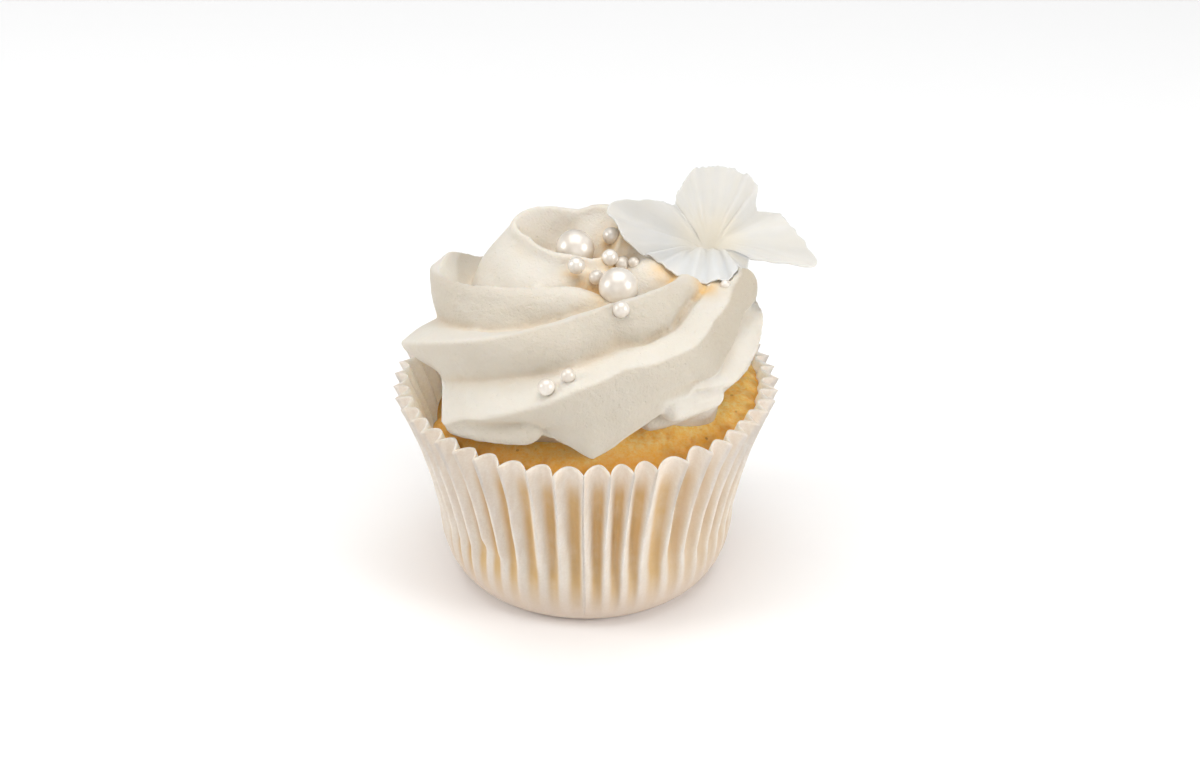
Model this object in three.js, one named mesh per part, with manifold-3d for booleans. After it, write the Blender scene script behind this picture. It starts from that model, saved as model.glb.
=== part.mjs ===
// A frosted cupcake in its pleated paper case: golden sponge, a piped swirl of buttercream with pearl sugar
// beads and one white flower. Millimetres, +Z up, the middle of the case's base at the origin, front towards -Y.
import * as THREE from "three";
import { mergeVertices } from "three/addons/utils/BufferGeometryUtils.js";
import Module from "manifold-3d";

// ---- driving dimensions ----
const RIM_RADIUS = 35; // outer ridges of the case at its rim
const CASE_HEIGHT = 38; // rim height at the outer ridges
const BASE_RADIUS = 19.9; // flat base the cake stands on
const CORNER_RADIUS = 27.2; // case radius where the rounded corner ends
const CORNER_HEIGHT = 13; // and its height
const PLEATS = 48;
const PLEAT_DEPTH = 2.7; // ridge to groove at the rim
const SCALLOP = 0.8; // the grooves' rim stands this much above the ridges'
const PAPER = 0.5; // wall thickness, measured level
const FLOOR = 0.4; // and that of the base
const GAP = 0.3; // clearance between pieces that touch
const DOME_HEIGHT = 43; // middle of the sponge's top
const DOME_DROP = 7.5; // from there to its edge
const SPONGE_RADIUS = 30;
const RIDGES = 6; // teeth of the piping nozzle
const PITCH = 360 / RIDGES;
const FIRST_RIDGE = 39; // azimuth at which one ridge leaves the sponge
const VALLEY_DEPTH = 4.6; // crest to valley of the piped rope
const LARGE_BEAD = 3.5; // radius
const CURL_CENTRE = [-5.5, 3.0];
const FLOWER_CENTRE = new THREE.Vector3(22.0, 2.0, 65.0);
const PETAL = 0.8; // sheet thickness of the flower
const THROAT_RADIUS = 3.7;
const THROAT_DEPTH = 4;

// Rope section over the sponge, [turn, radius, height]: turn 0 is the outer foot of a ridge and it grows up the
// outside, over the top and down the inside. STANDARD holds for most of the ring.
const INNER = [[200, 8.2, 56], [225, 8, 48], [250, 9.5, 40], [275, 16, 34], [300, 24, 32.5]];
const STANDARD = [
  [-40, 29.5, 33.5], [-20, 31.8, 36.5], [0, 33, 40], [21, 33.3, 45.8], [36, 32.6, 50.4], [51, 31, 54.4],
  [66, 29, 57.4], [79, 26.6, 59.6], [91, 24.2, 60.8], [102, 21.8, 61.7], [113, 19.6, 62.6], [128, 17, 63.4],
  [148, 13.8, 63.8], [165, 11.2, 63], [180, 9.6, 61], ...INNER,
];
// [azimuth, section] where the rope bulges on the right and its lower ridge runs level.
const SECTIONS = [
  [262, STANDARD],
  [279, [[0, 30.2, 40], [15, 32.2, 44.4], [30, 32.8, 49], [60, 30.5, 56], [90, 25.8, 60.3], [120, 21.2, 63.6],
    [150, 14.5, 64.2], [175, 10.5, 61], ...INNER]],
  [293, [[0, 30.6, 41.3], [14, 31.7, 44.8], [44, 32.3, 51.3], [74, 30.3, 56.6], [104, 26.5, 61],
    [134, 20.4, 64.4], [160, 14.5, 64.3], [180, 10.5, 61], ...INNER]],
  [308, [[0, 30, 43], [14, 31, 46.2], [29, 32, 49], [59, 32.3, 53.4], [89, 30.2, 57.8], [119, 26.6, 62.3],
    [149, 20.6, 65], [175, 14.5, 64.3], [190, 11, 60], ...INNER]],
  [322, [[0, 28.5, 42], [20, 31, 45.2], [43, 32.6, 48.3], [73, 33, 53.6], [103, 29.6, 60], [133, 25.6, 64],
    [163, 20.1, 65], [185, 14, 62], ...INNER]],
  [339, [[0, 27, 41], [30, 30.6, 43.2], [60, 33.1, 46.8], [75, 33.7, 51.3], [90, 32.9, 56], [105, 31, 59.9],
    [121, 29, 62.6], [150, 24.5, 64.4], [180, 18, 63], ...INNER]],
  [352, [[0, 27.5, 40], [30, 30, 42], [58, 32.6, 45.6], [73, 33.3, 49.8], [88, 32.8, 54.4], [103, 31, 58.4],
    [118, 29, 61.2], [133, 27, 62.8], [160, 22.5, 63.5], [185, 14.5, 60.5], ...INNER]],
  [380, [[0, 29, 40], [20, 31, 42.6], [41, 32.4, 46.5], [71, 31.2, 52], [101, 28, 57], [131, 23.6, 60.6],
    [161, 18.6, 62], [185, 12.5, 59.5], ...INNER]],
  [430, STANDARD],
];
// [azimuth, radius] of the line where the rope sits down on the sponge.
const FOOT = [
  [0, 28], [40, 28.5], [99, 29.5], [130, 28], [159, 29.2], [190, 28.5], [205, 29.2], [219, 29.8], [232, 29.5],
  [246, 28.4], [258, 27.4], [268, 28.4], [275, 29.5], [280, 29.7], [287, 28], [297, 25.6], [309, 24.8],
  [318, 26.4], [327, 28.6], [336, 27], [350, 27], [360, 28],
];
// [turn, share of the full valley depth]
const DEPTH_SHARE = [
  [-60, 0.3], [-40, 0.3], [-20, 0.55], [0, 0.85], [20, 1], [60, 1], [100, 0.95], [130, 0.9], [160, 0.8],
  [200, 0.4], [240, 0], [300, 0.3],
];
// [azimuth, turn] of the lip of the deep hollow on the left, between the ring and the curl.
const HOLLOW_LIP = [[0, 81], [168, 81], [180, 82], [190, 91], [200, 101], [215, 116], [240, 130], [360, 130]];
const HOLLOW_FLOOR = 49.5;
const RIM_CLEAR = CASE_HEIGHT + SCALLOP + 0.5; // the rope's underside clears the case here
// [azimuth about the curl's centre, radius, height] of the curl's lip.
const CURL_LIP = [
  [-20, 10.6, 62.4], [10, 11, 65], [36, 10.8, 69], [52, 10, 68.8], [66, 8.9, 66.9], [80, 9, 67.2],
  [110, 9.2, 67.6], [150, 9.1, 67.5], [180, 9, 67.2], [215, 8.8, 66.8], [250, 8.7, 66.1], [280, 8.8, 65.3],
  [310, 9.4, 63.4], [340, 10.6, 62.4],
];
// [azimuth about the flower's centre, reach, height] round the five petals' edge.
const PETAL_EDGE = [
  [-29, 7.9, -2], [-12, 12.7, -3], [-7, 16.1, -4.2], [0, 19.5, -4], [5, 16.9, -1], [15.5, 15.4, 1],
  [30, 14.4, 2], [37.5, 10.8, 3], [44, 12.4, 6.5], [56, 12.3, 7.5], [70, 12.8, 8.6], [84, 13, 9],
  [100, 12.2, 8.5], [118, 10.2, 7], [130, 9.2, 5], [134, 8.6, 3.5], [150, 9.8, 5], [158.5, 12.6, 6],
  [169, 18.2, 6], [186, 16.6, 4.5], [198, 15.7, 3], [208, 10.7, 0], [217, 8.2, -1.2], [225, 8.6, -2],
  [238, 9.35, -3], [263, 9.2, -3.5], [285, 8.6, -3.4], [307, 7.4, -3], [315, 6.6, -2.6], [322, 8.2, -3.5],
  [331, 7.9, -2],
];

// Small beads pressed into the cream, [x, y, z, radius].
const SMALL_BEADS = [
  [4.6, 3.6, 65.4, 1.7], [4.3, -2.7, 64.3, 1.7], [-1.6, -7.3, 65.1, 1.75], [6.9, -1.9, 62.3, 1.7],
  [1.9, -7.5, 62.8, 1.5], [6.2, -21.1, 63.7, 1.7], [-6.7, -29.8, 53.2, 1.6], [-2.9, -28.7, 54.9, 1.35],
  [22.0, -8.1, 61.5, 1.2], [24.8, -8.8, 62.5, 1.2], [22.3, -10.3, 61.3, 1.0],
];

// ---- small maths ----
const rad = (deg) => (deg * Math.PI) / 180;
const lerp = (a, b, f) => a + (b - a) * f;

function smooth(a, b, x) {
  const f = Math.min(1, Math.max(0, (x - a) / (b - a)));
  return f * f * (3 - 2 * f);
}

// A repeatable number in 0..1 for a whole number i.
function chance(i) {
  const v = Math.sin(i * 127.1 + 11.7) * 43758.5453;
  return v - Math.floor(v);
}

// The smooth curve through rows [key, value, value...] at key u.
function spline(rows, u) {
  const last = rows.length - 1;
  if (u <= rows[0][0]) return rows[0].slice(1);
  if (u >= rows[last][0]) return rows[last].slice(1);
  let i = 0;
  while (u > rows[i + 1][0]) i++;
  const h = rows[i + 1][0] - rows[i][0];
  const f = (u - rows[i][0]) / h;
  const slope = (a, b, k) => (rows[b][k] - rows[a][k]) / (rows[b][0] - rows[a][0]);
  return rows[0].slice(1).map((_, n) => {
    const k = n + 1;
    const m0 = slope(Math.max(i - 1, 0), i + 1, k);
    const m1 = slope(i, Math.min(i + 2, last), k);
    return (
      (2 * f ** 3 - 3 * f ** 2 + 1) * rows[i][k] +
      (f ** 3 - 2 * f ** 2 + f) * h * m0 +
      (3 * f ** 2 - 2 * f ** 3) * rows[i + 1][k] +
      (f ** 3 - f ** 2) * h * m1
    );
  });
}

// ---- solids ----
const wasm = await Module();
wasm.setup();

// A closed three.js geometry as a solid, turned face out whichever way its triangles run.
function solidOf(geometry) {
  const bare = geometry.clone();
  for (const name of ["normal", "uv"]) bare.deleteAttribute(name);
  const merged = mergeVertices(bare, 1e-4);
  const vertProperties = new Float32Array(merged.attributes.position.array);
  const build = (triVerts) => new wasm.Manifold(new wasm.Mesh({ numProp: 3, vertProperties, triVerts }));
  const made = build(new Uint32Array(merged.index.array));
  return made.volume() > 0 ? made : build(new Uint32Array(merged.index.array).reverse());
}

// A lathe of `columns` whose profile has `rows` points, with every vertex set to place(column, row). The first and
// the last row are the poles.
function lathe(columns, rows, place) {
  const profile = Array.from({ length: rows }, (_, i) => {
    return new THREE.Vector2(Math.sin((Math.PI * i) / (rows - 1)), i);
  });
  const geometry = new THREE.LatheGeometry(profile, columns);
  const position = geometry.getAttribute("position");
  for (let k = 0; k < position.count; k++) {
    position.setXYZ(k, ...place(Math.floor(k / rows) % columns, k % rows));
  }
  return solidOf(geometry);
}

// A torus with every vertex set to place(column, row).
function torus(columns, rows, place) {
  const geometry = new THREE.TorusGeometry(2, 1, rows, columns);
  const position = geometry.getAttribute("position");
  for (let k = 0; k < position.count; k++) {
    position.setXYZ(k, ...place((k % (columns + 1)) % columns, Math.floor(k / (columns + 1)) % rows));
  }
  return solidOf(geometry);
}

const polar = (r, degrees, z) => [r * Math.cos(rad(degrees)), r * Math.sin(rad(degrees)), z];

function mesh(name, shape, colour, roughness) {
  const made = shape.getMesh();
  const geometry = new THREE.BufferGeometry();
  const points = new Float32Array(made.numVert * 3);
  for (let i = 0; i < made.numVert; i++) {
    points.set(made.vertProperties.subarray(i * made.numProp, i * made.numProp + 3), i * 3);
  }
  geometry.setAttribute("position", new THREE.BufferAttribute(points, 3));
  geometry.setIndex(new THREE.BufferAttribute(made.triVerts, 1));
  geometry.computeVertexNormals();
  const material = new THREE.MeshStandardMaterial({ color: colour, roughness, metalness: 0 });
  const node = new THREE.Mesh(geometry, material);
  node.name = name;
  return node;
}

// ---- paper case ----
// Outer profile through the ridges, [height, radius, share of the pleat depth].
const CASE_PROFILE = [];
for (const corner of [0, 32, 62, 90]) {
  const a = rad(corner);
  CASE_PROFILE.push([CORNER_HEIGHT * (1 - Math.cos(a)), lerp(BASE_RADIUS, CORNER_RADIUS, Math.sin(a))]);
}
for (const up of [0.45, 1]) {
  const flare = 0.63 * up + 0.37 * up ** 2.26;
  CASE_PROFILE.push([lerp(CORNER_HEIGHT, CASE_HEIGHT, up), lerp(CORNER_RADIUS, RIM_RADIUS, flare)]);
}
for (const row of CASE_PROFILE) row.push(smooth(1, 20, row[0]) * lerp(0.55, 1, row[0] / CASE_HEIGHT));

// Across one pleat: a sharp ridge, then a wide rounded groove.
const PLEAT_STEPS = [0, 0.22, 0.5, 0.78];

function pleatPoint(column, [height, radius, share], inset, lift) {
  const pleat = Math.floor(column / PLEAT_STEPS.length);
  const part = PLEAT_STEPS[column % PLEAT_STEPS.length];
  const depth = PLEAT_DEPTH * lerp(0.85, 1.15, chance(pleat));
  const shift = 0.16 * (lerp(chance(pleat + 60), chance(((pleat + 1) % PLEATS) + 60), part) - 0.5);
  const fold = Math.sin(Math.PI * part) ** 0.85;
  const z = height + lift + (SCALLOP * fold * height) / CASE_HEIGHT;
  return polar(radius - inset - depth * share * fold, ((pleat + part + shift * share) / PLEATS) * 360, z);
}

function paperCase() {
  const n = CASE_PROFILE.length;
  return lathe(PLEATS * PLEAT_STEPS.length, 2 * n + 2, (column, row) => {
    if (row === 0) return [0, 0, 0];
    if (row === 2 * n + 1) return [0, 0, FLOOR];
    if (row <= n) return pleatPoint(column, CASE_PROFILE[row - 1], 0, 0);
    const at = CASE_PROFILE[2 * n - row];
    return pleatPoint(column, at, PAPER, FLOOR * (1 - smooth(0, CORNER_HEIGHT, at[0])));
  });
}

// ---- sponge ----
function domeAt(r) {
  const inside = Math.min(r, SPONGE_RADIUS) / SPONGE_RADIUS;
  return DOME_HEIGHT - DOME_DROP * inside ** 2.6 - 3 * Math.max(0, r - SPONGE_RADIUS);
}

// Radius of the sponge's side, just inside the deepest grooves of the case.
function sideAt(z) {
  const [radius, share] = spline(CASE_PROFILE, z);
  const corner = 1 - smooth(0, CORNER_HEIGHT, z);
  return radius - PLEAT_DEPTH * 1.15 * share - PAPER - GAP - 0.35 - 0.9 * corner;
}

function sponge(grow) {
  const rows = [[0, FLOOR + GAP], [BASE_RADIUS - 1.5, FLOOR + GAP]];
  for (const z of [3.2, 7, 13, 25]) rows.push([sideAt(z), z]);
  rows.push([SPONGE_RADIUS - 0.6, 33.4], [SPONGE_RADIUS, 35]);
  for (const r of [SPONGE_RADIUS - 0.7, 27.6, 23, 16, 8, 0]) rows.push([r, domeAt(r)]);
  const columns = 48;
  return lathe(columns, rows.length, (column, row) => {
    const [r, z] = rows[row];
    if (r === 0) return [0, 0, row ? z + grow : z];
    const a = (column / columns) * 360;
    const top = smooth(33, 35, z);
    const rough = top * smooth(0, 12, r) * (Math.sin(rad(3 * a) + 1) + Math.sin(rad(7 * a) + row));
    return polar(r + grow + 0.1 * rough, a, z + top * grow + 0.2 * rough);
  });
}

// ---- buttercream ----
function ropeSection(azimuth, turn) {
  const a = azimuth % 360 < SECTIONS[0][0] ? (azimuth % 360) + 360 : azimuth % 360;
  if (a >= SECTIONS[SECTIONS.length - 1][0]) return spline(STANDARD, turn);
  let i = 0;
  while (a > SECTIONS[i + 1][0]) i++;
  const [from, here] = SECTIONS[i];
  const [to, next] = SECTIONS[i + 1];
  const f = next === STANDARD ? smooth(from, to, a) : (a - from) / (to - from);
  const p = spline(here, turn);
  const q = spline(next, turn);
  return [lerp(p[0], q[0], f), lerp(p[1], q[1], f)];
}

const hollowAt = (azimuth) => smooth(80, 110, azimuth) * (1 - smooth(196, 226, azimuth));

// Outline of the rope through its crests, [radius, height].
function ropeHull(azimuth, turn) {
  if (turn < 0 || turn > 300) {
    const t = turn < 0 ? turn : turn - 360;
    const foot = spline(FOOT, azimuth)[0];
    const seat = domeAt(Math.min(foot, SPONGE_RADIUS - 0.5)) - 0.6;
    const [r0, z0] = ropeSection(azimuth, 0);
    const rows = [
      [-60, 18, 32.5], [-42, foot - 1, seat - 3], [-26, foot, seat],
      [-14, (foot + r0) / 2, Math.max(lerp(seat, z0, 0.75), RIM_CLEAR)], [0, r0, z0],
      [15, ...ropeSection(azimuth, 15)], [30, ...ropeSection(azimuth, 30)],
    ];
    return spline(rows, t);
  }
  let [r, z] = ropeSection(azimuth, turn);
  const lip = spline(HOLLOW_LIP, azimuth)[0];
  const sag = smooth(95, 120, azimuth) * (1 - smooth(150, 178, azimuth));
  const sagHere = sag * smooth(20, 75, turn) * (1 - smooth(150, 200, turn));
  r -= 1.6 * sagHere;
  z -= 2.6 * sagHere;
  const w = hollowAt(azimuth);
  if (w > 0 && turn > lip && turn < 200) {
    const [lipR, lipZ] = spline(STANDARD, lip);
    const f = (turn - lip) / (200 - lip);
    r = lerp(r, lerp(lipR - 1.6 * sag, INNER[0][1], f), w);
    z = lerp(z, lerp(lipZ - 2.6 * sag, HOLLOW_FLOOR, 1 - (1 - f) ** 3.4), w);
  }
  return [r, z];
}

// A point of the piped rope: the outline pressed in between the crests, which wind once round the rope per lap.
function ropePoint(azimuth, turn) {
  const [r, z] = ropeHull(azimuth, turn);
  const [r1, z1] = ropeHull(azimuth, turn - 1.5);
  const [r2, z2] = ropeHull(azimuth, turn + 1.5);
  const length = Math.hypot(r2 - r1, z2 - z1);
  const phase = (azimuth - FIRST_RIDGE - turn) / PITCH;
  const lip = spline(HOLLOW_LIP, azimuth)[0];
  const share = spline(DEPTH_SHARE, turn)[0] * (1 - hollowAt(azimuth) * smooth(lip - 14, lip - 2, turn));
  const depth = VALLEY_DEPTH * share * Math.abs(Math.sin(Math.PI * phase));
  const reach = r - (depth * (z2 - z1)) / length;
  const a = rad(azimuth);
  return [reach * Math.cos(a), reach * Math.sin(a), z + (depth * (r2 - r1)) / length];
}

// The laid ring of rope. As many columns as rows, so that mesh edges run along the crests and along the foot.
function ropeRing() {
  const count = RIDGES * 8;
  return torus(count, count, (column, row) => {
    const azimuth = (column / count) * 360;
    const turn = azimuth - FIRST_RIDGE - (row / count) * 360;
    return ropePoint(azimuth, ((((turn + 60) % 360) + 360) % 360) - 60);
  });
}

// The curl at the end of the rope: a flank, a sharp lip and a bowl behind it.
function curl() {
  const columns = 40;
  return lathe(columns, 14, (column, row) => {
    const a = (column / columns) * 360;
    const [r, z] = spline(CURL_LIP, a > 340 ? a - 360 : a);
    const rows = [
      [0, 46], [10, 46], [16.2, 50], [15.2, 55], [13.6, 59], [12, 62.5], [r + 1.3, z - 2], [r + 0.4, z - 0.35],
      [r - 0.4, z - 0.15], [r - 1.3, z - 1.8], [r - 2.6, z - 3.8], [3.6, 61], [1.5, 60.2], [0, 60],
    ];
    const [x, y, height] = polar(rows[row][0], a, rows[row][1]);
    return [CURL_CENTRE[0] + x, CURL_CENTRE[1] + y, height];
  });
}

// The cream under the ring and the curl, down to the sponge.
function creamBed() {
  const geometry = new THREE.CylinderGeometry(19, 11, 11, 48);
  geometry.rotateX(Math.PI / 2).translate(0, 0, 42.5);
  return solidOf(geometry);
}

// A bead; `grow` enlarges it.
function bead([x, y, z], radius, detail) {
  return solidOf(new THREE.IcosahedronGeometry(radius, detail).translate(x, y, z));
}

// ---- flower ----
// One wavy sheet: a funnel throat that opens into five petals. `grow` thickens both faces.
function flower(grow) {
  const edge = PETAL_EDGE.flatMap(([a, r, z], i) => {
    const [b, r2, z2] = PETAL_EDGE[(i + 1) % PETAL_EDGE.length];
    const after = i + 1 < PETAL_EDGE.length ? b : b + 360;
    return [[a, r, z], [(a + after) / 2, (r + r2) / 2, (z + z2) / 2]];
  });
  const shares = [0, 0.1, 0.2, 0.3, 0.48, 0.66, 0.84, 1];
  return lathe(edge.length, 2 * shares.length, (column, row) => {
    const [a, r, z] = edge[column];
    const upper = row >= shares.length;
    const s = shares[upper ? 2 * shares.length - 1 - row : row];
    const reach = s < 0.3 ? (s / 0.3) * THROAT_RADIUS : lerp(THROAT_RADIUS, r, (s - 0.3) / 0.7);
    const out = Math.max(0, (reach - THROAT_RADIUS) / (r - THROAT_RADIUS));
    const dip = THROAT_DEPTH * Math.max(0, 1 - (reach / THROAT_RADIUS) ** 2);
    const wave = 0.5 * Math.sin(rad(10 * a) + 1) * out ** 2;
    const height = z * out ** 1.15 - dip + wave + (upper ? 1 : -1) * (PETAL / 2 + grow);
    const point = new THREE.Vector3(...polar(reach + (s === 1 ? grow : 0), a, height));
    return point.add(FLOWER_CENTRE).toArray();
  });
}

// ---- assembly ----
const LARGE_BEADS = { bead_large_1: [-2.0, 1.5, 65.6], bead_large_2: [5.9, -11.5, 63.5] };

let cream = ropeRing().add(curl()).add(creamBed());
for (const [x, y, z, radius] of SMALL_BEADS) cream = cream.add(bead([x, y, z], radius, 1));
cream = cream.subtract(sponge(GAP)).subtract(flower(GAP));
for (const at of Object.values(LARGE_BEADS)) cream = cream.subtract(bead(at, LARGE_BEAD + GAP, 3));
const frosting = cream.decompose().sort((a, b) => b.volume() - a.volume())[0];

const group = new THREE.Group();
group.name = "cupcake";
group.add(mesh("paper_case", paperCase(), 0xe6d9cb, 0.75));
group.add(mesh("sponge", sponge(0), 0xd8ab62, 0.9));
group.add(mesh("frosting", frosting, 0xeee6da, 0.55));
group.add(mesh("flower", flower(0), 0xeeebe6, 0.6));
for (const [name, at] of Object.entries(LARGE_BEADS)) {
  group.add(mesh(name, bead(at, LARGE_BEAD, 3), 0xe2d8cb, 0.2));
}

export default group;
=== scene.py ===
"""A frosted cupcake in its pleated paper case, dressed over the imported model.

Metres, +Z up, the middle of the case's base at the origin, front towards -Y. Named sizes and tables of
sizes are in millimetres, and angles are in degrees round from +X.
"""
from functools import lru_cache
from math import atan2, cos, degrees, exp, floor, hypot, pi, radians, sin

import bmesh
import bpy
import numpy as np
from mathutils import Matrix, Vector, noise


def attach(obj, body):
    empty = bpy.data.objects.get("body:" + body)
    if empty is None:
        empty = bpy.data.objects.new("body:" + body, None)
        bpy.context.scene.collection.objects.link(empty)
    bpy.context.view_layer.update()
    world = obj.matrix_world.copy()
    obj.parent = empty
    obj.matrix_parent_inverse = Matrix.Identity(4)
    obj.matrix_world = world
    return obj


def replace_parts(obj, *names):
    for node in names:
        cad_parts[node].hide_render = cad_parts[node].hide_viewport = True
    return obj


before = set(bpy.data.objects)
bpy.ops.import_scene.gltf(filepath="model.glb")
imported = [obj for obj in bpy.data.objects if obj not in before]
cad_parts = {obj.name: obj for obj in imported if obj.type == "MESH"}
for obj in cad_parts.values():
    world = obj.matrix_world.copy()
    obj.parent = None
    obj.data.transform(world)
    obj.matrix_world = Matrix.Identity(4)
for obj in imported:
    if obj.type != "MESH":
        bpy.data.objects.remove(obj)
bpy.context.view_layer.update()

MM = 0.001

# ---- sizes of the case and the sponge ----
RIM_RADIUS = 35.0
CASE_HEIGHT = 38.0
BASE_RADIUS = 19.9
CORNER_RADIUS = 27.2
CORNER_HEIGHT = 13.0
PLEATS = 48
PLEAT_DEPTH = 2.7
SCALLOP = 0.8
PAPER = 0.2
# Shares of the way up an outer fold, from the base's middle: the edge of the base, and the end of its corner.
BASE_SHARE = 0.12
CORNER_SHARE = 0.38
# How far each fold's line lies along its pleat: a little past half, so that the pleats lean.
LEAN = 0.58
DOME_HEIGHT = 43.0
DOME_DROP = 7.5
SPONGE_RADIUS = 30.0
# (share from the base's middle to the top's, radius, height) up the sponge's side, to the edge of its dome.
SPONGE_SIDE = [
    (0.0, 0.0, 0.7), (0.1, 17.5, 0.7), (0.16, 20.0, 2.0), (0.24, 22.5, 6.0), (0.34, 24.2, 13.0),
    (0.46, 26.6, 25.0), (0.52, 28.6, 31.5), (0.55, 29.6, 33.8), (0.58, 30.0, 35.2), (0.61, 29.3, 36.1),
]
# Azimuths from the front of the folds that were stretched in handling; the others share the rest evenly.
FRONT_FOLDS = [-42.0, -34.6, -26.3, -17.6, -9.5, -0.6, 7.1, 14.0, 21.2, 31.2, 39.6]
# Folds that give out before the base: fold number from the front, height in mm where each ends.
SHORT_FOLDS = {-5: 15.0, -4: 13.0, -2: 12.0}

# ---- sizes of the piped rope ----
# An outline of the rope has rows of (turn, radius, height). Turn 0 is its outer foot, and turn grows over
# the top.
RIDGES = 6
PITCH = 360 / RIDGES
FIRST_RIDGE = 39
VALLEY_DEPTH = 4.6
# The middle of the rope's section, from which its turns are told apart.
CORE_RADIUS, CORE_HEIGHT = 20, 47
# The size of the cells that weld the cream's shapes into one skin.
SKIN_CELL = 0.43
INNER = [(200, 8.2, 56), (225, 8, 48), (250, 9.5, 40), (275, 16, 34), (300, 24, 32.5)]
STANDARD = [
    (-40, 29.5, 33.5), (-20, 31.8, 36.5), (0, 33, 40), (21, 33.3, 45.8), (36, 32.6, 50.4), (51, 31, 54.4),
    (66, 29, 57.4), (79, 26.6, 59.6), (91, 24.2, 60.8), (102, 21.8, 61.7), (113, 19.6, 62.6),
    (128, 17, 63.4), (148, 13.8, 63.8), (165, 11.2, 63), (180, 9.6, 61), *INNER,
]
# (azimuth, section) where the rope's free lower edge rises from the case, and where it bulges on the right.
SECTIONS = [
    (205, STANDARD),
    (219, [(0, 32.4, 40.4), (9, 33.1, 43.0), (21, 33.3, 45.8), *STANDARD[4:]]),
    (228, [(0, 32.0, 41.7), (9, 32.9, 43.8), (21, 33.2, 46.2), *STANDARD[4:]]),
    (238, [(0, 31.6, 42.9), (12, 32.7, 44.9), (21, 33.2, 46.6), *STANDARD[4:]]),
    (247, [(0, 31.4, 43.7), (14, 32.5, 45.9), (24, 33.1, 47.6), *STANDARD[4:]]),
    (256, [(0, 31, 43), (21, 32.4, 46.9), *STANDARD[4:]]),
    (265, [(0, 31.4, 41.7), (21, 32.8, 46.3), *STANDARD[4:]]),
    (272, [(0, 32.4, 40.2), (15, 33, 44.2), (30, 33, 48.6), (45, 31.8, 52.7), (60, 29.9, 55.8),
           (80, 26.7, 59.3), (105, 22.6, 62.2), (125, 19, 63.9), (150, 14, 64.1), (175, 10.3, 61.3),
           *INNER]),
    (283, [(0, 30, 42.3), (15, 32, 45.4), (30, 32.8, 49.4), (60, 30.5, 56), (90, 25.9, 60.4),
           (120, 21.2, 63.8), (150, 15, 64.3), (175, 10.8, 61), *INNER]),
    (293, [(0, 28.6, 43.6), (14, 30.4, 45.7), (44, 32.3, 51.5), (74, 30.3, 56.8), (104, 26.5, 61.2),
           (134, 20.4, 64.4), (160, 14.5, 64.3), (180, 10.5, 61), *INNER]),
    (308, [(0, 28, 44.2), (14, 29.6, 47.2), (29, 31.2, 49.7), (59, 32, 53.8), (89, 30.2, 57.8),
           (119, 26.6, 62.3), (149, 20.6, 65), (175, 14.5, 64.3), (190, 11, 60), *INNER]),
    (322, [(0, 28.5, 42), (20, 31, 45.2), (43, 32.6, 48.4), (55, 32.2, 50.4), (65, 31.3, 52.2),
           (73, 30.7, 53.8), (84, 30, 56), (94, 29.2, 58), (103, 28.2, 59.6), (133, 24.8, 63.8),
           (163, 20.1, 65), (185, 14, 62), *INNER]),
    (339, [(0, 27, 41), (25, 29.4, 43.4), (42, 31.6, 46.6), (60, 32.5, 50.6), (72, 31.9, 53.6),
           (84, 30.7, 55.6), (94, 30.2, 57.2), (104, 29.8, 59), (112, 28.9, 60.7), (120, 27.3, 61.9),
           (150, 23.4, 64.2), (180, 18, 63), *INNER]),
    (352, [(0, 27.5, 40), (25, 30.2, 43), (45, 31.8, 46.8), (60, 32.2, 50.4), (73, 31.9, 53.6),
           (85, 31, 55.4), (96, 31, 57.4), (108, 31, 59.8), (119, 30.1, 61.9), (133, 27.8, 62.9),
           (160, 22.5, 63.5), (185, 14.5, 60.5), *INNER]),
    (366, [(0, 28.5, 40), (20, 31, 42.6), (45, 32.2, 46.5), (73, 31.9, 50.5), (87, 30.2, 53.6),
           (101, 28.8, 56.2), (118, 28.4, 60), (140, 26.2, 62.3), (161, 21, 63), (185, 13.5, 60.5),
           *INNER]),
    (380, [(0, 29, 40), (20, 31, 42.6), (41, 32.2, 46.5), (71, 30.4, 51.6), (101, 27, 56.4),
           (131, 23, 60.4), (161, 18.4, 61.9), (185, 12.5, 59.5), *INNER]),
    (430, STANDARD),
]
# (azimuth, radius) of the line where the rope sits down on the sponge.
FOOT = [
    (0, 28), (40, 28.5), (99, 29.5), (130, 28), (159, 28.6), (175, 26.2), (190, 25.4), (202, 26.0),
    (211, 27.2), (219, 27.6), (232, 26.4), (246, 24.8), (258, 24), (266, 25.2), (272, 27.4), (277, 26),
    (284, 23.4), (293, 21.5), (301, 22), (309, 23.5), (318, 25.5), (327, 27.6), (336, 27), (350, 27),
    (360, 28),
]
# (turn, share of the full valley depth)
DEPTH_SHARE = [
    (-60, 0.3), (-40, 0.3), (-20, 0.55), (0, 0.85), (20, 1), (60, 1), (100, 0.95), (130, 0.9), (160, 0.8),
    (200, 0.4), (240, 0), (300, 0.3),
]
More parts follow.
